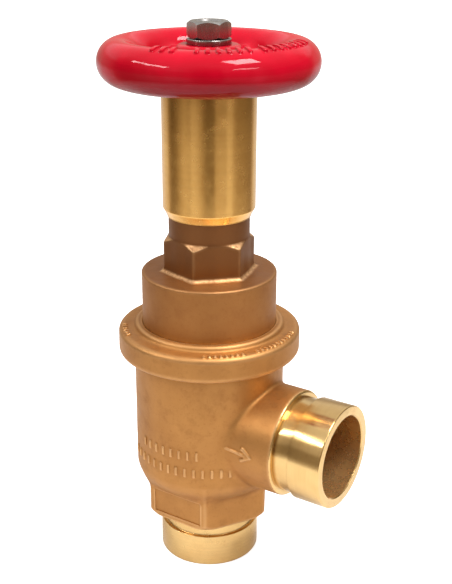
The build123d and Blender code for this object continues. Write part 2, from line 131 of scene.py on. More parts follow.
SPOKES = 5
SPOKE_TURN = math.radians(16.0)
SPOKE_HALF_W = 5.2 * MM
SPOKE_HALF_H = 3.6 * MM
SPOKE_Z = 241.5 * MM
WHEEL_FILLET = 3 * MM
NUT_CORNER_R = 9.69 * MM
NUT_TURN = math.radians(31.8)
NUT_FACE = 0.2 * MM
NUT_CHAMFER = 0.8
STUD_R = 5.0 * MM
MAIN_WIRE_R = 2.0 * MM
MAIN_COIL_R = 12.3 * MM
MAIN_TURNS = 9
CLOSING_WIRE_R = 1.0 * MM
CLOSING_COIL_R = 8.4 * MM
CLOSING_TURNS = 4.5


# --- mesh building --------------------------------------------------------------------------
def new_object(name, vertices, faces):
    mesh = bpy.data.meshes.new(name)
    mesh.from_pydata([tuple(v) for v in vertices], [], faces)
    mesh.validate()
    obj = bpy.data.objects.new(name, mesh)
    bpy.context.scene.collection.objects.link(obj)
    return obj


def shade(obj, angle_deg=32):
    """Smooth shading that keeps edges sharper than the angle."""
    obj.data.shade_smooth()
    obj.data.set_sharp_from_angle(angle=math.radians(angle_deg))


def arc(centre, radius, start_deg, end_deg, steps=8):
    """Points (radius, height) along an arc, for an outline."""
    angles = np.radians(np.linspace(start_deg, end_deg, steps + 1))
    return [(centre[0] + radius * math.cos(a), centre[1] + radius * math.sin(a)) for a in angles]


def lathe(name, outline, segments=192):
    """Closed solid turned from an outline of (radius, height) points. The outline is a closed loop;
    points on the axis have radius 0."""
    rings, faces, vertices = [], [], []
    for r, h in outline:
        if r < 1e-9:
            rings.append([len(vertices)] * segments)
            vertices.append((0.0, 0.0, h))
        else:
            first = len(vertices)
            rings.append(list(range(first, first + segments)))
            for i in range(segments):
                a = 2 * math.pi * i / segments
                vertices.append((r * math.cos(a), r * math.sin(a), h))
    n = len(rings)
    for k in range(n):
        a_ring, b_ring = rings[k], rings[(k + 1) % n]
        if a_ring[0] == a_ring[1] and b_ring[0] == b_ring[1]:
            continue
        for i in range(segments):
            j = (i + 1) % segments
            quad = [a_ring[i], a_ring[j], b_ring[j], b_ring[i]]
            faces.append(list(dict.fromkeys(quad)))
    obj = new_object(name, vertices, faces)
    outward(obj)
    return obj


def outward(obj):
    """Makes a closed mesh's faces point outwards."""
    bm = bmesh.new()
    bm.from_mesh(obj.data)
    bmesh.ops.recalc_face_normals(bm, faces=bm.faces)
    if bm.calc_volume(signed=True) < 0:
        bmesh.ops.reverse_faces(bm, faces=bm.faces)
    bm.to_mesh(obj.data)
    bm.free()


def surface(name, field, lowest, highest, step):
    """Closed mesh of the surface where field(x, y, z) is zero; field is negative inside.
    A dual grid of quads whose corners are then drawn onto the surface itself."""
    axes = [np.arange(lowest[i], highest[i] + step, step) for i in range(3)]
    x, y, z = np.meshgrid(*axes, indexing="ij")
    v = field(x, y, z)
    inside = v < 0
    cells = tuple(s - 1 for s in v.shape)
    corner = [(i, j, k) for i in (0, 1) for j in (0, 1) for k in (0, 1)]
    count = np.zeros(cells, np.int8)
    for i, j, k in corner:
        count += inside[i:cells[0] + i, j:cells[1] + j, k:cells[2] + k]
    active = np.argwhere((count > 0) & (count < 8))
    number = -np.ones(cells, np.int64)
    number[tuple(active.T)] = np.arange(len(active))
    place = np.zeros((len(active), 3))
    hits = np.zeros((len(active), 1))
    for a in corner:
        for d in range(3):
            if a[d]:
                continue
            b = tuple(a[i] + (i == d) for i in range(3))
            va = v[tuple((active + a).T)]
            vb = v[tuple((active + b).T)]
            cross = (va < 0) != (vb < 0)
            t = np.where(cross, va / np.where(cross, va - vb, 1), 0)
            point = np.array(a, float) + t[:, None] * (np.array(b) - np.array(a))
            place += point * cross[:, None]
            hits += cross[:, None]
    place = np.array(lowest) + (active + place / hits) * step
    quads = []
    for d in range(3):
        e, f = (d + 1) % 3, (d + 2) % 3
        lo = [slice(None)] * 3
        hi = [slice(None)] * 3
        lo[d], hi[d] = slice(0, -1), slice(1, None)
        change = inside[tuple(lo)] != inside[tuple(hi)]
        at = np.argwhere(change)
        keep = (at[:, e] > 0) & (at[:, f] > 0) & (at[:, e] < cells[e]) & (at[:, f] < cells[f])
        at = at[keep]
        ring = []
        for de, df in ((1, 1), (0, 1), (0, 0), (1, 0)):
            shift = np.zeros(3, int)
            shift[e], shift[f] = de, df
            ring.append(number[tuple((at - shift).T)])
        ring = np.stack(ring, 1)
        starts_in = inside[tuple(at.T)]
        ring[~starts_in] = ring[~starts_in][:, ::-1]
        quads.append(ring)
    quads = np.concatenate(quads)
    eps = step * 0.05
    for _ in range(4):
        value = field(*place.T)
        slope = np.stack([
            field(*(place + eps * np.eye(3)[i]).T) - field(*(place - eps * np.eye(3)[i]).T) for i in range(3)
        ], 1) / (2 * eps)
        move = (value / np.maximum((slope ** 2).sum(1), 0.2))[:, None] * slope
        place -= np.clip(move, -0.4 * step, 0.4 * step)
    mesh = bpy.data.meshes.new(name)
    mesh.vertices.add(len(place))
    mesh.vertices.foreach_set("co", place.astype(np.float32).ravel())
    mesh.loops.add(quads.size)
    mesh.loops.foreach_set("vertex_index", quads.astype(np.int32).ravel())
    mesh.polygons.add(len(quads))
    mesh.polygons.foreach_set("loop_start", np.arange(0, quads.size, 4, dtype=np.int32))
    mesh.update()
    mesh.validate()
    obj = bpy.data.objects.new(name, mesh)
    bpy.context.scene.collection.objects.link(obj)
    outward(obj)
    return obj


def combine(obj, other, operation):
    """Boolean of two closed meshes; other is used up."""
    bpy.context.view_layer.update()
    modifier = obj.modifiers.new("cut", "BOOLEAN")
    modifier.operation = operation
    modifier.solver = "MANIFOLD"
    modifier.object = other
    apply_modifiers(obj)
    bpy.data.objects.remove(other)


def apply_modifiers(obj):
    bpy.context.view_layer.update()
    graph = bpy.context.evaluated_depsgraph_get()
    mesh = bpy.data.meshes.new_from_object(obj.evaluated_get(graph))
    obj.modifiers.clear()
    obj.data = mesh


# --- distance fields ------------------------------------------------------------------------
def blend(a, b, k):
    """Union of two fields with a fillet of about k."""
    h = np.clip(0.5 + 0.5 * (b - a) / k, 0, 1)
    return b * (1 - h) + a * h - k * h * (1 - h)


def meet(a, b, k):
    """Intersection of two fields with edges rounded by about k."""
    return -blend(-a, -b, k)


def column(radial, height, r, z0, z1, edge):
    """Round bar from z0 to z1 with rounded rims."""
    a = radial - r + edge
    b = np.abs(height - (z0 + z1) / 2) - (z1 - z0) / 2 + edge
    return np.minimum(np.maximum(a, b), 0) + np.hypot(np.maximum(a, 0), np.maximum(b, 0)) - edge


def hexagon(x, y, corner_r, turn, edge):
    """Hexagonal bar with rounded corners, one corner at the angle turn."""
    flat_r = corner_r * math.cos(math.pi / 6)
    d = None
    for i in range(6):
        a = turn + math.pi / 6 + i * math.pi / 3
        side = x * math.cos(a) + y * math.sin(a) - flat_r
        d = side if d is None else meet(d, side, edge)
    return d


def slab(value, half):
    return np.abs(value) - half


def waves(x, y, z, length, amount):
    """Slow unevenness of a sand casting, the same each run."""
    k = 2 * math.pi / length
    first = np.sin(k * x + 1.3 * np.sin(0.7 * k * y))
    second = np.sin(0.9 * k * y + 1.1 * np.sin(0.8 * k * z) + 2.0)
    third = np.sin(1.1 * k * z + 0.9 * np.sin(0.9 * k * x) + 4.0)
    return amount * (first + second + third) / 3


def segment(px, py, ax, ay, bx, by):
    """Distance to a straight line piece in a plane."""
    t = np.clip(((px - ax) * (bx - ax) + (py - ay) * (by - ay)) / ((bx - ax) ** 2 + (by - ay) ** 2), 0, 1)
    return np.hypot(px - ax - t * (bx - ax), py - ay - t * (by - ay))


def tick_row(along, across, count, pitch, half_w, half_h):
    """A row of plain raised ticks, each half_w by half_h about its centre."""
    nearest = np.clip(np.round(along / pitch + (count - 1) / 2), 0, count - 1) - (count - 1) / 2
    a = np.abs(along - nearest * pitch) - half_w
    b = np.abs(across) - half_h
    return np.minimum(np.maximum(a, b), 0) + np.hypot(np.maximum(a, 0), np.maximum(b, 0))


# --- castings -------------------------------------------------------------------------------
# Plain tick rows on the drum: middle angle in degrees, height in mm, number of ticks
DRUM_TICKS = ((-90.0, 66.5, 8), (-85.5, 57.5, 14))
# Plain tick rows on the collar and on the wheel: middle angle in degrees, number of ticks
COLLAR_TICKS = ((-47.0, 8), (-4.0, 12), (-134.0, 6))
WHEEL_TICKS = ((-82.0, 3), (-48.0, 6), (-4.0, 8))
# One tick of each kind: pitch, half width, half height
DRUM_TICK = (4.3 * MM, 0.45 * MM, 2.0 * MM)
COLLAR_TICK = (2.5 * MM, 0.35 * MM, 1.0 * MM)
WHEEL_TICK = (4.0 * MM, 0.4 * MM, 2.3 * MM)
TICK_ROUND = 0.15 * MM
WHEEL_TICK_ROUND = 0.45 * MM
TICK_RISE = 0.65 * MM
COLLAR_TICK_RISE = 0.7 * MM
COLLAR_TICK_R = 40.0 * MM
WHEEL_TICK_RISE = 0.9 * MM
WHEEL_TICK_OUT = 1.6 * MM


def turn_from(x, y, angle_deg):
    """Angle of each point about the valve's axis, counted from angle_deg."""
    a = np.arctan2(y, x) - math.radians(angle_deg)
    return (a + math.pi) % (2 * math.pi) - math.pi


def body_field(x, y, z):
    rho = np.hypot(x, y)
    skin = column(rho, z, BODY_R, BODY_LOW, COLLAR_LOW + COLLAR_OVERLAP, BODY_ROUND)
    from_outlet_axis = np.hypot(y, z - OUTLET_Z)
    stub = column(from_outlet_axis, x, BRANCH_R, 0, OUTLET_FACE - SHOULDER, 1.3 * MM)
    skin = blend(skin, stub, BRANCH_FILLET)
    run = HEX_CORNER_R - HEX_CHAMFER_R
    rise = HEX_CHAMFER_TOP - SHOULDER
    chamfer = ((rho - HEX_CHAMFER_R) * rise - (z - SHOULDER) * run) / math.hypot(run, rise)
    hexagonal = meet(hexagon(x, y, HEX_CORNER_R, 0, 0.9 * MM), chamfer, 0.6 * MM)
    hexagonal = meet(hexagonal, slab(z - HEX_MIDDLE, HEX_MIDDLE - SHOULDER), 0.5 * MM)
    pad_x = slab(x, PAD_HALF_W)
    pad_z = slab(z - PAD_Z, PAD_HALF_H)
    flat_y = -HEX_CORNER_R * math.cos(math.pi / 6)
    pad = np.maximum(np.maximum(pad_x, pad_z), y - flat_y - PAD_DEPTH)
    hexagonal = meet(hexagonal, -pad, 0.3 * MM)
    skin = blend(skin, hexagonal, 4.5 * MM)
    collar = column(rho, z, COLLAR_R, COLLAR_LOW, COLLAR_HIGH, 2.4 * MM)
    lip = column(rho, z, LIP_R, COLLAR_LOW, LIP_TOP, 1.3 * MM)
    skin = blend(skin, blend(collar, lip, 2.2 * MM), 1.2 * MM)
    seat = np.maximum(rho - BONNET_R - 0.12 * MM, BONNET_SEAT - z)
    skin = meet(skin, -seat, 0.5 * MM)
    skin = skin + waves(x, y, z, 23 * MM, 0.05 * MM)
    return blend(skin, body_marks(x, y, z, rho, from_outlet_axis), 0.4 * MM)


def body_marks(x, y, z, rho, from_outlet_axis):
    """Raised flow arrow on the branch and plain ticks where the casting carries wording."""
    tilt = math.radians(ARROW_TILT)
    along = (x - ARROW_X) * math.cos(tilt) + (z - OUTLET_Z - ARROW_UP) * math.sin(tilt)
    across = (z - OUTLET_Z - ARROW_UP) * math.cos(tilt) - (x - ARROW_X) * math.sin(tilt)
    tip = ARROW_LONG / 2
    arrow = segment(along, across, -tip, 0, tip, 0) - 0.75 * MM
    for side in (-1, 1):
        barb = segment(along, across, tip, 0, tip - ARROW_HEAD, side * ARROW_HEAD_HALF)
        arrow = np.minimum(arrow, barb - 0.85 * MM)
    marks = np.maximum(np.maximum(arrow, from_outlet_axis - BRANCH_R - 0.6 * MM), y)
    for angle, height, count in DRUM_TICKS:
        along = turn_from(x, y, angle) * BODY_R
        row = tick_row(along, z - height * MM, count, *DRUM_TICK) - TICK_ROUND
        marks = np.minimum(marks, np.maximum(row, rho - BODY_R - TICK_RISE))
    for angle, count in COLLAR_TICKS:
        along = turn_from(x, y, angle) * COLLAR_TICK_R
        row = tick_row(along, rho - COLLAR_TICK_R, count, *COLLAR_TICK) - TICK_ROUND
        marks = np.minimum(marks, np.maximum(row, slab(z - COLLAR_HIGH, COLLAR_TICK_RISE)))
    return marks


def make_pipe_end(name):
    """Turned end: broken rims, land and coupling groove, as a solid bar that reaches into the casting."""
    inside = SHOULDER + 4 * MM
    outline = [(0, 0)]
    outline += arc((PIPE_R - END_BREAK, END_BREAK), END_BREAK, -90, 0, 4)
    outline += arc((PIPE_R - 0.25 * MM, LAND - 0.25 * MM), 0.25 * MM, 0, 90, 3)
    outline += arc((GROOVE_R + 0.4 * MM, LAND + 0.4 * MM), 0.4 * MM, 270, 180, 3)
    outline += [(GROOVE_R, inside), (0, inside)]
    return lathe(name, outline)


def make_body():
    lowest = (-44 * MM, -44 * MM, 20 * MM)
    highest = (54 * MM, 44 * MM, 123 * MM)
    body = surface("valve_body", body_field, lowest, highest, 0.55 * MM)
    combine(body, make_pipe_end("inlet"), "UNION")
    outlet = make_pipe_end("outlet")
    to_outlet = Matrix.Translation((OUTLET_FACE, 0, OUTLET_Z))
    outlet.data.transform(to_outlet @ Matrix.Rotation(-math.pi / 2, 4, "Y"))
    combine(body, outlet, "UNION")
    deep = -1 * MM
    thread_r = 30.55 * MM
    ring_groove_r = 20.2 * MM
    seat_r = 18.4 * MM
    waist_r = 22 * MM
    chamber_r = 29 * MM
    above = 130 * MM
    hollow = [
        (0, deep), (PIPE_BORE_R + BORE_FLARE, deep), (PIPE_BORE_R, 0.5 * MM), (PIPE_BORE_R, 8 * MM),
        (ring_groove_r, 8 * MM), (ring_groove_r, 9.4 * MM), (PIPE_BORE_R, 9.4 * MM), (PIPE_BORE_R, 14 * MM),
        (seat_r, 14 * MM), (seat_r, 27 * MM), (waist_r, 30.6 * MM), (waist_r, 42 * MM), (seat_r, 45.6 * MM),
        (seat_r, 50 * MM), (chamber_r, 50 * MM), (chamber_r, 90 * MM), (thread_r, 92 * MM),
        (thread_r, above), (0, above),
    ]
    combine(body, lathe("hollow", hollow), "DIFFERENCE")
    reach = OUTLET_FACE + 1 * MM
    passage = [
        (0, 0), (PIPE_BORE_R, 0), (PIPE_BORE_R, OUTLET_FACE - 0.5 * MM), (PIPE_BORE_R + BORE_FLARE, reach),
        (0, reach),
    ]
    tool = lathe("passage", passage)
    tool.data.transform(Matrix.Translation((0, 0, OUTLET_Z)) @ Matrix.Rotation(math.pi / 2, 4, "Y"))
    combine(body, tool, "DIFFERENCE")
    return body


def bonnet_field(x, y, z):
    rho = np.hypot(x, y)
    drum = column(rho, z, BONNET_R, BONNET_SEAT + 0.02 * MM, BONNET_HIGH, 1.0 * MM)
    spigot = column(rho, z, SPIGOT_R, SPIGOT_LOW, BONNET_HIGH - 4 * MM, 0.4 * MM)
    inside = BONNET_HIGH - 6 * MM
    neck = column(rho, z, NECK_R, inside, NECK_TOP, 0.8 * MM)
    flat_r = NECK_HEX_R * math.cos(math.pi / 6)
    run, rise = NECK_HEX_R - flat_r, NECK_HEX_CHAMFER
    chamfer = ((rho - flat_r) * rise + (z - NECK_HEX_HIGH - 0.2 * MM) * run) / math.hypot(run, rise)
    wrench = meet(hexagon(x, y, NECK_HEX_R, NECK_HEX_TURN, 0.7 * MM), chamfer, 0.35 * MM)
    wrench = np.maximum(wrench, np.maximum(z - NECK_HEX_HIGH, inside - z))
    cast = blend(drum, blend(wrench, neck, 0.9 * MM), 3.0 * MM)
    cast = cast + waves(x, y, z, 19 * MM, 0.03 * MM)
    return np.minimum(cast, spigot)


def make_bonnet():
    lowest = (-33 * MM, -33 * MM, 90 * MM)
    highest = (33 * MM, 33 * MM, 215 * MM)
    bonnet = surface("bonnet_casting", bonnet_field, lowest, highest, 0.6 * MM)
    cylinder_r = 25 * MM
    neck_bore_r = 15.3 * MM
    ring_groove_r = 26 * MM
    below, above = 90 * MM, 216 * MM
    hollow = [
        (0, below), (cylinder_r, below), (cylinder_r, 93.4 * MM), (ring_groove_r, 93.4 * MM),
        (ring_groove_r, 94.9 * MM), (cylinder_r, 94.9 * MM), (cylinder_r, 128 * MM),
        (neck_bore_r, 137.7 * MM), (neck_bore_r, above), (0, above),
    ]
    combine(bonnet, lathe("hollow", hollow), "DIFFERENCE")
    floor_r, open_r = 27.6 * MM, 31 * MM
    groove_low, groove_high = 112.3 * MM, 115.7 * MM
    groove = [(floor_r, groove_low), (open_r, groove_low), (open_r, groove_high), (floor_r, groove_high)]
    combine(bonnet, lathe("groove", groove), "DIFFERENCE")
    return bonnet


def wheel_field(x, y, z):
    rho = np.hypot(x, y)
    rim_r = WHEEL_R - RIM_HALF_W
    rim_z = WHEEL_TOP - RIM_HALF_H
    across = (rho - rim_r) / RIM_HALF_W
    up = (z - rim_z) / (WHEEL_TOP - rim_z)
    rim = (np.hypot(across, up) - 1) * RIM_HALF_W
    for angle, count in WHEEL_TICKS:
        along = turn_from(x, y, angle) * rim_r
        row = tick_row(along, rho - rim_r - WHEEL_TICK_OUT, count, *WHEEL_TICK) - WHEEL_TICK_ROUND
        row = np.maximum(np.maximum(row, rim - WHEEL_TICK_RISE), -up * RIM_HALF_W)
        rim = blend(rim, row, 0.25 * MM)
    hub = column(rho, z, HUB_R, HUB_LOW, HUB_TOP, 2.2 * MM)
    wheel = rim
    for i in range(SPOKES):
        a = SPOKE_TURN + 2 * math.pi * i / SPOKES
        out = x * math.cos(a) + y * math.sin(a)
        side = -x * math.sin(a) + y * math.cos(a)
        spoke = (np.hypot(side / SPOKE_HALF_W, (z - SPOKE_Z) / SPOKE_HALF_H) - 1) * SPOKE_HALF_H
        spoke = np.maximum(spoke, np.maximum(-out, out - rim_r))
        wheel = blend(wheel, spoke, WHEEL_FILLET)
    return blend(wheel, hub, WHEEL_FILLET)


def box_tool(name, width, z0, z1):
    h = width / 2
    corners = [(sx * h, sy * h, z) for z in (z0, z1) for sx, sy in ((-1, -1), (1, -1), (1, 1), (-1, 1))]
    faces = [(3, 2, 1, 0), (4, 5, 6, 7), (0, 1, 5, 4), (1, 2, 6, 5), (2, 3, 7, 6), (3, 0, 4, 7)]
    return new_object(name, corners, faces)


def make_wheel():
    lowest = (-50 * MM, -50 * MM, 229 * MM)
    highest = (50 * MM, 50 * MM, 254 * MM)
    wheel = surface("wheel_casting", wheel_field, lowest, highest, 0.42 * MM)
    combine(wheel, box_tool("socket", TANG + 0.1 * MM, HUB_LOW - 2 * MM, HUB_TOP + 2 * MM), "DIFFERENCE")
    return wheel


# --- turned and formed pieces ---------------------------------------------------------------
def make_barrel():
    bore_r = 18.72 * MM
    bore_top = 222 * MM
    edge = 0.5 * MM
    outline = [(bore_r, BARREL_LOW)]
    outline += arc((19.05 * MM, BARREL_LOW + 0.3 * MM), 0.3 * MM, -90, 30, 5)
    outline += arc((BARREL_R - 1.2 * MM, BARREL_EDGE), 1.2 * MM, -40, 0, 5)
    outline += arc((BARREL_R - edge, BARREL_HIGH - edge), edge, 0, 90, 4)
    outline += [(0, BARREL_HIGH), (0, bore_top), (bore_r, bore_top)]
    barrel = lathe("barrel_sleeve", outline, 256)
    combine(barrel, box_tool("tang", TANG, BARREL_HIGH - 1 * MM, TANG_TOP), "UNION")
    hole_r = STUD_R + 0.02 * MM
    hole_low, hole_high = bore_top - 1 * MM, 246 * MM
    hole = lathe("hole", [(0, hole_low), (hole_r, hole_low), (hole_r, hole_high), (0, hole_high)], 64)
    combine(barrel, hole, "DIFFERENCE")
    return barrel


def make_washer():
    edge = 0.35 * MM
    hole_r = STUD_R + 0.2 * MM
    outline = [(hole_r, WASHER_LOW), (WASHER_R - edge, WASHER_LOW)]
    outline += arc((WASHER_R - edge, WASHER_LOW + edge), edge, -90, 0, 3)[1:]
    outline += arc((WASHER_R - edge, WASHER_TOP - edge), edge, 0, 90, 3)
    outline += [(hole_r, WASHER_TOP)]
    return lathe("wheel_washer", outline, 128)


def make_nut(name, corner_r, bore_r, z0, z1, turn):
    """Hexagon nut: turned cones take the corners off both faces, and the bore has a countersink."""
    face_r = corner_r * math.cos(math.pi / 6) - NUT_FACE
    sides = [(corner_r * math.cos(turn + i * math.pi / 3), corner_r * math.sin(turn + i * math.pi / 3))
             for i in range(6)]
    vertices = [(x, y, z) for z in (z0, z1) for x, y in sides]
    faces = [tuple(range(5, -1, -1)), tuple(range(6, 12))]
    faces += [(i, (i + 1) % 6, 6 + (i + 1) % 6, 6 + i) for i in range(6)]
    nut = new_object(name, vertices, faces)
    over = corner_r + 1 * MM
    fall = (over - face_r) * NUT_CHAMFER
    envelope = lathe("envelope", [
        (0, z0), (face_r, z0), (over, z0 + fall), (over, z1 - fall), (face_r, z1), (0, z1),
    ])
    combine(nut, envelope, "INTERSECT")
    sink = 0.8 * MM
    hole = lathe("hole", [
        (0, z0 - 1 * MM), (bore_r + 1 * MM + sink, z0 - 1 * MM), (bore_r, z0 + sink), (bore_r, z1 - sink),
        (bore_r + 1 * MM + sink, z1 + 1 * MM), (0, z1 + 1 * MM),
    ], 96)
    combine(nut, hole, "DIFFERENCE")
    return nut


def make_stud_end():
    """Threaded end of the adjusting stud, with real ridges where it shows above the nut."""
    pitch = 1.5 * MM
    root_r = STUD_R - 0.75 * MM
    stud_low = low("adjusting_stud").z
    outline = [(0, stud_low), (2.5 * MM, stud_low), (STUD_R - 0.1 * MM, stud_low + 1.6 * MM)]
    z = TANG_TOP
    while z < STUD_TOP - 1.6 * MM:
        outline += [(STUD_R - 0.05 * MM, z), (root_r, z + pitch / 2)]
        z += pitch
    outline += [(STUD_R - 0.3 * MM, STUD_TOP - 0.9 * MM), (STUD_R - 1.2 * MM, STUD_TOP), (0, STUD_TOP)]
    return lathe("stud_rod", outline, 96)


def make_coil(name, wire_r, coil_r, z0, z1, turns, share=(0.0, 1.0)):
    """Compression spring with open ends between z0 and z1, or the share of its length given."""
    ring_steps, per_turn = 16, 64
    steps = int(turns * (share[1] - share[0]) * per_turn)
    angles = np.radians(np.arange(ring_steps) * 360 / ring_steps)
    vertices, faces = [], []
    for i, s in enumerate(np.linspace(share[0], share[1], steps + 1)):
        a = 2 * math.pi * turns * s
        middle = z0 + wire_r + s * (z1 - z0 - 2 * wire_r)
        for b in angles:
            r = coil_r + wire_r * math.cos(b)
            vertices.append((r * math.cos(a), r * math.sin(a), middle + wire_r * math.sin(b)))
        if i:
            p, q = (i - 1) * ring_steps, i * ring_steps
            for j in range(ring_steps):
                k = (j + 1) % ring_steps
                faces.append((p + j, p + k, q + k, q + j))
    faces.append(tuple(range(ring_steps - 1, -1, -1)))
    faces.append(tuple(range(steps * ring_steps, (steps + 1) * ring_steps)))
    obj = new_object(name, vertices, faces)
    outward(obj)
    return obj


# --- finishes -------------------------------------------------------------------------------
def linear(red, green, blue):
    """Colour given as screen values 0 to 255, in the renderer's linear values."""
    levels = [c / 255 for c in (red, green, blue)]
    return tuple(((c + 0.055) / 1.055) ** 2.4 if c > 10 / 255 else c / 12.92 for c in levels) + (1.0,)


class Nodes:
    """Short-hand for a node tree: each call adds one node and gives back its output."""

    def __init__(self, tree):
        self.tree = tree

    def node(self, kind, inputs=(), output=0, **settings):
        made = self.tree.nodes.new("ShaderNode" + kind)
        for key, value in settings.items():
            setattr(made, key, value)
        for key, value in dict(inputs).items():
            self.feed(made.inputs[key], value)
        return made.outputs[output]

    def feed(self, socket, value):
        if isinstance(value, bpy.types.NodeSocket):
            self.tree.links.new(value, socket)
        else:
            socket.default_value = value

    def math(self, operation, a, b=0.0, c=0.0):
        return self.node("Math", {0: a, 1: b, 2: c}, operation=operation)

    def dot(self, a, b):
        return self.node("VectorMath", {0: a, 1: b}, output="Value", operation="DOT_PRODUCT")

    def span(self, value, low_in, high_in, low_out=0.0, high_out=1.0):
        """Value taken from one range to another, held at its ends."""
        ends = {"From Min": low_in, "From Max": high_in, "To Min": low_out, "To Max": high_out}
        return self.node("MapRange", {"Value": value, **ends})

    def mix(self, share, a, b, kind="MIX"):
        made = self.tree.nodes.new("ShaderNodeMix")
        made.data_type = "RGBA"
        made.blend_type = kind
        for socket, value in ((0, share), (6, a), (7, b)):
            self.feed(made.inputs[socket], value)
        return made.outputs[2]


class Finish(Nodes):
    """A material being built on a Principled BSDF."""

    def __init__(self, name):
        self.material = bpy.data.materials.new(name)
        self.material.use_nodes = True
        super().__init__(self.material.node_tree)
        self.skin = self.tree.nodes["Principled BSDF"]

    def set(self, **values):
        for key, value in values.items():
            self.feed(self.skin.inputs[key.replace("_", " ")], value)

    def place(self):
        return self.node("TexCoord", output="Object")

    def noise(self, at, size, detail=3.0, rough=0.55, stretch=None):
        """Noise 0 to 1 whose lumps are about size across."""
        if stretch:
            at = self.node("VectorMath", {0: at, 1: stretch}, operation="MULTIPLY")
        return self.node("TexNoise", {"Vector": at, "Scale": 1 / size, "Detail": detail, "Roughness": rough})

    def bump(self, height, distance, strength=1.0, under=None):
        inputs = {"Height": height, "Distance": distance, "Strength": strength}
        if under:
            inputs["Normal"] = under
        return self.node("Bump", inputs)

    def corner_shade(self, reach):
        """Mask for painted shade: 0 on open surfaces, towards 1 in corners and under overhangs."""
        open_share = self.node("AmbientOcclusion", {"Distance": reach}, output="AO", samples=6)
        return self.math("SUBTRACT", 1.0, open_share)

    def edge(self, gain):
        """Mask for painted edge highlights: above 0 on the mesh's outward edges."""
        sharp = self.node("NewGeometry", output="Pointiness")
        return self.span(sharp, 0.5, 0.5 + gain)


def cast_bronze():
    """Blasted sand casting: fine grain, warm mottling, painted shade in corners and painted highlights on
    edges and on upward faces around the neck's hexagon. The neck's hexagon and thread are a much darker
    brown: painted shade under the barrel and handwheel, with some tarnish."""
    f = Finish("cast_bronze_skin")
    at = f.place()
    clouds = f.noise(at, 26 * MM, 3)
    specks = f.noise(at, 1.6 * MM, 4, 0.7)
    height = f.node("SeparateXYZ", {0: at}, output=2)
    tone = f.mix(f.span(clouds, 0.35, 0.68), linear(180, 127, 72), linear(191, 137, 78))
    tone = f.mix(f.span(height, LIP_TOP, LIP_TOP + 2 * MM, 0.0, 0.45), tone, linear(140, 84, 46))
    # Painted shade: above the bonnet top the neck's hexagon and thread are darkened for the barrel and
    # handwheel over them, with some tarnish.
    neck_shade = f.span(height, BONNET_HIGH - 1 * MM, BONNET_HIGH + 1 * MM, 0.0, 0.85)
    tone = f.mix(neck_shade, tone, linear(122, 78, 46))
    # Painted highlight: faces turned upwards between the bonnet top and the neck's hexagon top are paler,
    # broken up by the specks.
    bare = f.node("NewGeometry", output="Normal")
    upward = f.span(f.node("SeparateXYZ", {0: bare}, output=2), 0.25, 0.60)
    hexagonal = f.math("MULTIPLY", f.span(height, BONNET_HIGH + 0.05 * MM, BONNET_HIGH + 0.4 * MM),
                       f.span(height, NECK_HEX_HIGH + 1.5 * MM, NECK_HEX_HIGH + 1.0 * MM))
    upward_highlight = f.math("MULTIPLY", upward, hexagonal)
    upward_highlight = f.math("MULTIPLY", upward_highlight, f.span(specks, 0.30, 0.55, 0.35, 1.0))
    tone = f.mix(f.math("MULTIPLY", upward_highlight, 0.8), tone, linear(232, 186, 136))
    stains = f.noise(f.node("VectorMath", {0: at, 1: (0.3, 0.1, 0.7)}, operation="ADD"), 7 * MM, 4, 0.65)
    tone = f.mix(f.span(stains, 0.52, 0.72, 0.0, 0.30), tone, linear(140, 88, 48))
    tone = f.mix(f.span(specks, 0.30, 0.46, 0.22, 0.0), tone, linear(140, 86, 48))
    # Painted shade in corners and under overhangs, such as the drum top under the collar.
    tone = f.mix(f.math("MULTIPLY", f.corner_shade(7 * MM), 0.75), tone, linear(98, 54, 24))
    # Painted highlight on outward edges, strongest up to the lip top and fading up the bonnet.
    edge_highlight = f.math("MULTIPLY", f.edge(0.04), f.span(height, LIP_TOP, BONNET_HIGH, 0.45, 0.15))
    tone = f.mix(edge_highlight, tone, linear(240, 196, 142))
    # Not physical: the casting is paler in mirror reflections, so the turned end beside it stays brass.
    mirrored = f.node("LightPath", output="Is Glossy Ray")
    tone = f.mix(f.math("MULTIPLY", mirrored, 0.6), tone, linear(236, 202, 140))
    grain = f.noise(at, 0.55 * MM, 3, 0.6)
    lumps = f.noise(at, 3.5 * MM, 2, 0.5)
    skin = f.bump(lumps, 0.10 * MM, 0.6)
    skin = f.bump(grain, 0.045 * MM, 0.8, skin)
    rough = f.span(f.noise(at, 9 * MM, 3), 0.3, 0.7, 0.46, 0.56)
    f.set(Base_Color=tone, Metallic=0.9, Roughness=rough, Normal=skin)
    return f.material


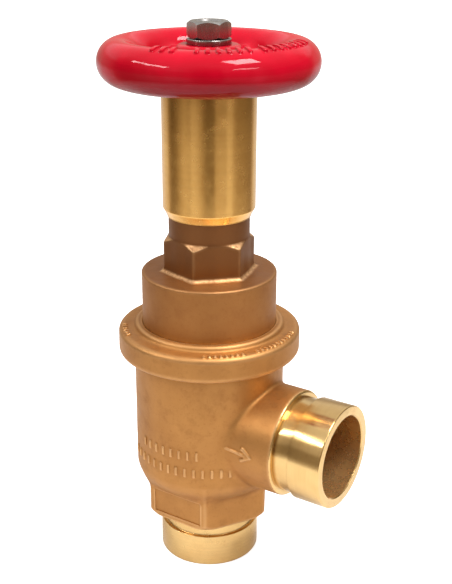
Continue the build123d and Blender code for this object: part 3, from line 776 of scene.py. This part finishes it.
def turned_brass(name, axis, centre, colour, rough=0.24, groove=0.002 * MM, shade_reach=1.5 * MM,
                 stretch=0.75, metal=1.0):
    """Lathe-turned metal: rings of fine tool marks about an axis, which stretch its highlights
    across them."""
    f = Finish(name)
    at = f.place()
    offset = f.node("VectorMath", {0: at, 1: tuple(-c for c in centre)}, operation="ADD")
    along = f.node("VectorMath", {0: offset, 1: axis}, output="Value", operation="DOT_PRODUCT")
    across = f.node("VectorMath", {0: offset, 1: tuple(1 - a for a in axis)}, operation="MULTIPLY")
    radius = f.node("VectorMath", {0: across}, output="Value", operation="LENGTH")
    rings = f.node("CombineXYZ", {0: along, 1: radius, 2: 0.0})
    fine = f.noise(rings, 0.16 * MM, 2, 0.6)
    coarse = f.noise(rings, 0.9 * MM, 2, 0.6)
    skin = f.bump(fine, groove, 0.7)
    skin = f.bump(coarse, groove * 1.2, 0.5, skin)
    normal = f.node("NewGeometry", output="Normal")
    around = f.node("VectorMath", {0: axis, 1: across}, operation="CROSS_PRODUCT")
    tangent = f.node("VectorMath", {0: around, 1: normal}, operation="CROSS_PRODUCT")
    tangent = f.node("VectorMath", {0: tangent}, operation="NORMALIZE")
    stain = f.noise(at, 12 * MM, 4, 0.6)
    tone = f.mix(f.span(stain, 0.4, 0.75, 0.0, 0.25), colour, linear(190, 132, 66))
    tone = f.mix(f.span(coarse, 0.35, 0.65, 0.06, 0.0), tone, linear(120, 80, 36))
    # Painted shade in corners within shade_reach; on the sleeve the long reach darkens it under the
    # handwheel.
    tone = f.mix(f.math("MULTIPLY", f.corner_shade(shade_reach), 0.5), tone, linear(120, 78, 36))
    smooth = f.span(f.noise(at, 5 * MM, 3), 0.35, 0.7, rough * 0.85, rough * 1.2)
    f.set(Base_Color=tone, Metallic=metal, Roughness=smooth, Normal=skin)
    f.set(Anisotropic=stretch, Tangent=tangent)
    return f.material


def red_enamel():
    """Thick glossy red coating with slow waves from the casting beneath and a faint orange peel."""
    f = Finish("red_enamel_coat")
    at = f.place()
    depth = f.noise(at, 18 * MM, 2)
    tone = f.mix(f.span(depth, 0.35, 0.7), linear(180, 3, 30), linear(198, 5, 38))
    # Painted shade in corners, such as where the spokes meet the rim and hub.
    tone = f.mix(f.math("MULTIPLY", f.corner_shade(4 * MM), 0.4), tone, linear(120, 4, 18))
    slow = f.noise(at, 11 * MM, 2, 0.4)
    peel = f.noise(at, 1.5 * MM, 2, 0.5)
    skin = f.bump(slow, 0.60 * MM, 0.5)
    skin = f.bump(peel, 0.02 * MM, 0.5, skin)
    specks = f.span(f.noise(at, 2.6 * MM, 2), 0.66, 0.72, 0.035, 0.12)
    f.set(Base_Color=tone, Roughness=0.35, Specular_IOR_Level=0.0, Normal=skin)
    f.set(Coat_Weight=0.8, Coat_Roughness=specks, Coat_IOR=1.34, Coat_Normal=skin)
    return f.material


def stainless():
    """Cold-formed stainless fastener: satin faces and faint drawing marks, with painted highlights on its
    outer edges and painted shade in its corners.
    """
    f = Finish("stainless_fastener")
    at = f.place()
    marks = f.noise(at, 0.5 * MM, 4, 0.7, stretch=(1.0, 1.0, 0.12))
    blur = f.noise(at, 4 * MM, 3)
    tone = f.mix(f.span(blur, 0.35, 0.7), linear(104, 96, 92), linear(122, 114, 110))
    # Painted highlight on the outward edges.
    tone = f.mix(f.math("MULTIPLY", f.edge(0.08), 0.6), tone, linear(232, 230, 226))
    # Painted shade in corners.
    tone = f.mix(f.math("MULTIPLY", f.corner_shade(1.5 * MM), 0.7), tone, linear(70, 66, 62))
    rough = f.span(marks, 0.3, 0.7, 0.24, 0.30)
    f.set(Base_Color=tone, Metallic=1.0, Roughness=rough, Normal=f.bump(marks, 0.004 * MM, 0.5))
    return f.material


def spring_steel():
    """Drawn wire with a dull oiled surface and spots of dark scale."""
    f = Finish("spring_wire")
    at = f.place()
    scale = f.noise(at, 1.2 * MM, 4, 0.7)
    tone = f.mix(f.span(scale, 0.4, 0.65), linear(120, 118, 116), linear(78, 74, 72))
    f.set(Base_Color=tone, Metallic=1.0, Roughness=f.span(scale, 0.3, 0.7, 0.28, 0.5))
    f.set(Normal=f.bump(scale, 0.03 * MM, 0.5))
    return f.material


def rubber():
    """Moulded black rubber with a faint bloom."""
    f = Finish("moulded_rubber")
    at = f.place()
    bloom = f.noise(at, 6 * MM, 4, 0.65)
    tone = f.mix(f.span(bloom, 0.4, 0.75), linear(26, 26, 27), linear(48, 47, 46))
    f.set(Base_Color=tone, Roughness=f.span(bloom, 0.3, 0.7, 0.5, 0.72))
    f.set(Normal=f.bump(f.noise(at, 0.4 * MM, 3), 0.02 * MM, 0.6))
    return f.material


def ptfe():
    """Waxy white plastic with faint skiving lines."""
    f = Finish("skived_ptfe")
    at = f.place()
    lines = f.noise(at, 0.6 * MM, 2, 0.5, stretch=(0.1, 0.1, 3.0))
    tone = f.mix(f.span(lines, 0.3, 0.7), linear(232, 230, 224), linear(244, 243, 238))
    f.set(Base_Color=tone, Roughness=0.42, Normal=f.bump(lines, 0.01 * MM, 0.6), Subsurface_Weight=0.15)
    f.set(Subsurface_Radius=(1.0 * MM, 0.9 * MM, 0.8 * MM))
    return f.material


def bearing_bronze():
    """Oiled sintered bronze: fine open pores on a dull brown metal."""
    f = Finish("sintered_bronze")
    at = f.place()
    pores = f.noise(at, 0.35 * MM, 3, 0.7)
    tone = f.mix(f.span(pores, 0.35, 0.6), linear(96, 62, 36), linear(168, 116, 70))
    f.set(Base_Color=tone, Metallic=1.0, Roughness=f.span(pores, 0.3, 0.7, 0.55, 0.35))
    f.set(Normal=f.bump(pores, 0.03 * MM, 0.8))
    return f.material


# --- the object put together ----------------------------------------------------------------
OUTLET_CENTRE = (0.0, 0.0, OUTLET_Z)
UP = (0.0, 0.0, 1.0)
OUT = (1.0, 0.0, 0.0)
BRASS = linear(226, 190, 129)
WARM_BRASS = linear(236, 184, 106)
# Paler than BRASS: painted light standing in for the light bounced about inside the outlet bore.
LIT_BORE_BRASS = linear(240, 196, 132)
FINISHES = {
    "cast": cast_bronze(),
    "sleeve": turned_brass("turned_brass_sleeve", UP, (0.0, 0.0, 0.0), WARM_BRASS, shade_reach=30 * MM),
    "brass_z": turned_brass("turned_brass_upright", UP, (0.0, 0.0, 0.0), BRASS),
    "brass_x": turned_brass("turned_brass_outlet", OUT, OUTLET_CENTRE, BRASS, rough=0.22, stretch=0.93),
    "bore_x": turned_brass("bored_brass_outlet", OUT, OUTLET_CENTRE, LIT_BORE_BRASS, rough=0.28,
                           groove=0.0005 * MM, shade_reach=0.3 * MM, stretch=0.0, metal=0.85),
    "enamel": red_enamel(),
    "stainless": stainless(),
    "spring": spring_steel(),
    "rubber": rubber(),
    "ptfe": ptfe(),
    "bearing": bearing_bronze(),
}


def finish_piece(obj, body, finish, *nodes, angle=32):
    """Gives a built piece its look and its body, in place of the frame's own nodes."""
    if not any(obj.data.materials):
        obj.data.materials.clear()
        obj.data.materials.append(FINISHES[finish])
    shade(obj, angle)
    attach(obj, body)
    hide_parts(*nodes)


def paint(obj, finishes, choose):
    """Gives every face one of the finishes: choose(x, y, z) returns its number from the face's centre."""
    obj.data.materials.clear()
    for key in finishes:
        obj.data.materials.append(FINISHES[key])
    centres = np.empty(len(obj.data.polygons) * 3)
    obj.data.polygons.foreach_get("center", centres)
    obj.data.polygons.foreach_set("material_index", choose(*centres.reshape(-1, 3).T).astype(np.int32))


def body_finish(x, y, z):
    """Cast skin, with both pipe ends and their bores turned."""
    from_outlet_axis = np.hypot(y, z - OUTLET_Z)
    rho = np.hypot(x, y)
    inlet = (z < SHOULDER - 0.05 * MM) | ((rho < PIPE_BORE_R + 0.1 * MM) & (z < 51 * MM))
    outer = x > OUTLET_FACE - SHOULDER - 0.6 * MM
    bore = (from_outlet_axis < PIPE_BORE_R + 0.1 * MM) & (x > 25 * MM)
    return np.where(bore, 3, np.where(outer, 2, np.where(inlet, 1, 0)))


def build():
    body = make_body()
    paint(body, ("cast", "brass_z", "brass_x", "bore_x"), body_finish)
    finish_piece(body, "valve_body", "cast", "body", angle=40)
    finish_piece(make_bonnet(), "valve_body", "cast", "bonnet", angle=40)
    finish_piece(make_barrel(), "handwheel_group", "sleeve", "barrel")
    finish_piece(make_wheel(), "handwheel_group", "enamel", "handwheel", angle=60)
    finish_piece(make_washer(), "handwheel_group", "stainless", "handwheel_washer")
    nut = make_nut("wheel_nut", NUT_CORNER_R, STUD_R + 0.02 * MM, WASHER_TOP + 0.02 * MM, NUT_TOP, NUT_TURN)
    finish_piece(nut, "handwheel_group", "stainless", "handwheel_nut")
    finish_piece(make_stud_end(), "handwheel_group", "stainless", "adjusting_stud")
    build_springs()


def build_springs():
    """Coil springs that take the place of the frame's spring nodes. The main spring has a moving body at
    each end, so it's made in two halves that meet at its middle."""
    low_z, high_z = low("main_spring").z, high("main_spring").z
    main = (MAIN_WIRE_R, MAIN_COIL_R, low_z, high_z, MAIN_TURNS)
    lower = make_coil("main_coil_lower", *main, share=(0.0, 0.5))
    upper = make_coil("main_coil_upper", *main, share=(0.5, 1.0))
    finish_spring(lower, "main_spring")
    finish_spring(upper, "main_spring")
    low_z, high_z = low("closing_spring").z, high("closing_spring").z
    closing = make_coil("closing_coil", CLOSING_WIRE_R, CLOSING_COIL_R, low_z, high_z, CLOSING_TURNS)
    finish_spring(closing, "closing_spring")


def finish_spring(obj, node):
    obj.data.materials.append(FINISHES["spring"])
    shade(obj, 60)
    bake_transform(obj)
    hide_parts(node)


CARRIED = {
    "seat_gasket": "ptfe", "seat_ring": "brass_z", "bonnet_o_ring": "rubber", "piston_snap_ring": "spring",
    "inlet_spider": "brass_z", "inlet_snap_ring": "spring", "stem_guide": "bearing",
    "valve_stem": "stainless", "disc_nut": "stainless", "disc_holder": "brass_z", "seat_disc": "rubber",
    "disc_washer": "stainless", "piston": "brass_z", "piston_seal": "rubber", "piston_guide": "ptfe",
    "lower_spring_seat": "brass_z", "piston_nut": "stainless",
    "upper_spring_plate": "brass_z", "thrust_washer": "bearing", "stud_pin": "stainless",
}


def dress_carried():
    """The frame's own nodes that stay keep their shape and get their finish."""
    for name, finish in CARRIED.items():
        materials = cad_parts[name].data.materials
        materials.clear()
        materials.append(FINISHES[finish])


# --- studio ---------------------------------------------------------------------------------
# The camera's place, the way it looks, its roll in radians and its lens in mm
EYE = Vector((257.974, -382.607, 309.729)) * MM
LOOK = Vector((-0.50950866, 0.78399105, -0.3546251))
ROLL = 0.0045
FOCAL = 64.84


def make_camera():
    right = LOOK.cross(Vector((0, 0, 1))).normalized()
    up = right.cross(LOOK)
    side = right * math.cos(ROLL) + up * math.sin(ROLL)
    top = up * math.cos(ROLL) - right * math.sin(ROLL)
    data = bpy.data.cameras.new("camera")
    data.lens = FOCAL
    data.sensor_width = 36
    data.clip_start, data.clip_end = 0.02, 20
    camera = bpy.data.objects.new("camera", data)
    turn = Matrix((side, top, -LOOK)).transposed().to_4x4()
    camera.matrix_world = Matrix.Translation(EYE) @ turn
    bpy.context.scene.collection.objects.link(camera)
    bpy.context.scene.camera = camera


def make_floor():
    half = 6.0
    corners = [(-half, -half, 0), (half, -half, 0), (half, half, 0), (-half, half, 0)]
    floor = new_object("floor", corners, [(0, 1, 2, 3)])
    n = Finish("pale_floor")
    place = n.place()
    fleck = n.noise(place, 40 * MM, 3)
    seen = n.node("LightPath", output="Is Camera Ray")
    soft = n.node("LightPath", output="Is Diffuse Ray")
    pale = n.mix(fleck, linear(232, 232, 232), linear(238, 238, 238))
    shade_tone = n.mix(soft, pale, linear(120, 120, 120))
    distance = n.node("VectorMath", {0: place}, output="Value", operation="LENGTH")
    glow = n.math("MULTIPLY_ADD", seen, n.span(distance, 0.08, 0.40, 0.62, 1.0), 0.10)
    n.set(Base_Color=shade_tone, Roughness=0.9, Specular_IOR_Level=0.0)
    n.set(Emission_Color=(1.0, 1.0, 1.0, 1.0), Emission_Strength=glow)
    gone = n.math("MULTIPLY", n.span(distance, 0.28, 0.46), n.math("SUBTRACT", 1.0, seen))
    clear = n.node("BsdfTransparent")
    mixed = n.node("MixShader", {0: gone, 1: n.skin.outputs[0], 2: clear})
    n.feed(n.tree.nodes["Material Output"].inputs["Surface"], mixed)
    floor.data.materials.append(n.material)
    floor.location.z = -0.02 * MM


# Brightness of the room around the object by direction: (degrees right of the camera, brightness)
ROOM = (
    (-180, 0.90), (-135, 0.92), (-118, 0.80), (-108, 0.32), (-98, 0.22), (-84, 0.30), (-72, 0.50),
    (-60, 0.68), (-46, 0.60), (-40, 0.82), (-30, 0.76), (-22, 0.62), (-12, 0.36), (-4, 0.24),
    (12, 0.28), (18, 0.60), (42, 0.62), (46, 0.86), (56, 0.84), (62, 0.60), (72, 0.45), (84, 0.42),
    (122, 0.32), (136, 0.85), (180, 0.90),
)
# The room's band at eye height is darker by HORIZON; CEILING and GROUND are brightnesses.
HORIZON = 0.55
CEILING = 0.85
GROUND = 0.35


def make_world():
    world = bpy.data.worlds.new("studio")
    bpy.context.scene.world = world
    world.use_nodes = True
    n = Nodes(world.node_tree)
    n.tree.nodes.clear()
    toward = n.node("TexCoord", output="Generated")
    flat = Vector((-LOOK.x, -LOOK.y, 0)).normalized()
    right = Vector((LOOK.y, -LOOK.x, 0)).normalized()
    turn = n.math("ARCTAN2", n.dot(toward, right), n.dot(toward, flat))
    share = n.math("MULTIPLY_ADD", turn, 1 / (2 * math.pi), 0.5)
    ramp = n.tree.nodes.new("ShaderNodeValToRGB")
    stops = ramp.color_ramp.elements
    for k, (angle, level) in enumerate(ROOM):
        stop = stops[-1] if k == len(ROOM) - 1 else stops[0] if k == 0 else stops.new(angle / 360 + 0.5)
        stop.color = (level / 2, level / 2, level / 2, 1)
    n.feed(ramp.inputs[0], share)
    walls = n.math("MULTIPLY", ramp.outputs[0], 2.0)
    height = n.dot(toward, UP)
    band = n.math("MULTIPLY", n.span(height, -0.16, -0.04), n.span(height, 0.34, 0.24))
    level = n.math("MULTIPLY", walls, n.math("MULTIPLY_ADD", band, HORIZON - 1, 1.0))
    for start, full, brightness in ((0.40, 0.75, CEILING), (-0.40, -0.60, GROUND)):
        share = n.span(height, start, full)
        level = n.math("ADD", n.math("MULTIPLY", level, n.math("SUBTRACT", 1.0, share)),
                       n.math("MULTIPLY", share, brightness))
    tint = n.mix(n.span(level, 0.22, 0.85), (1.0, 0.80, 0.55, 1.0), (1.0, 0.99, 0.97, 1.0))
    room = n.node("Background", {"Color": tint, "Strength": level})
    plain = n.node("Background", {"Color": (1.0, 1.0, 1.0, 1.0), "Strength": 1.0})
    seen = n.node("LightPath", output="Is Camera Ray")
    mixed = n.node("MixShader", {0: seen, 1: room, 2: plain})
    output = n.tree.nodes.new("ShaderNodeOutputWorld")
    n.feed(output.inputs["Surface"], mixed)


# Lamps by the direction they lie in from the handwheel, their sizes in metres and watts
LAMPS = (
    ("overhead", (0.495, -0.035, 0.825), (0.42, 0.36), 11.0),
    ("side_window", (-0.47, -0.68, 0.56), (0.72, 0.09), 4.0),
    ("low_strip", (0.85, -0.27, 0.46), (0.42, 0.05), 1.0),
)
LAMP_FAR = 1.0
WHEEL_PLACE = Vector((0, 0, 0.242))


def make_light(name, place, size, watts):
    """Flat lamp that faces the handwheel, its long side level."""
    data = bpy.data.lights.new(name, "AREA")
    data.shape = "RECTANGLE"
    data.size, data.size_y = size
    data.energy = watts
    lamp = bpy.data.objects.new(name, data)
    lamp.location = place
    lamp.rotation_euler = (WHEEL_PLACE - place).to_track_quat("-Z", "Y").to_euler()
    bpy.context.scene.collection.objects.link(lamp)


def make_studio():
    make_camera()
    make_floor()
    make_world()
    for name, toward, size, watts in LAMPS:
        make_light(name, Vector(toward).normalized() * LAMP_FAR + WHEEL_PLACE, size, watts)
    view = bpy.context.scene.view_settings
    view.view_transform = "Standard"
    view.look = "None"


build()
dress_carried()
make_studio()
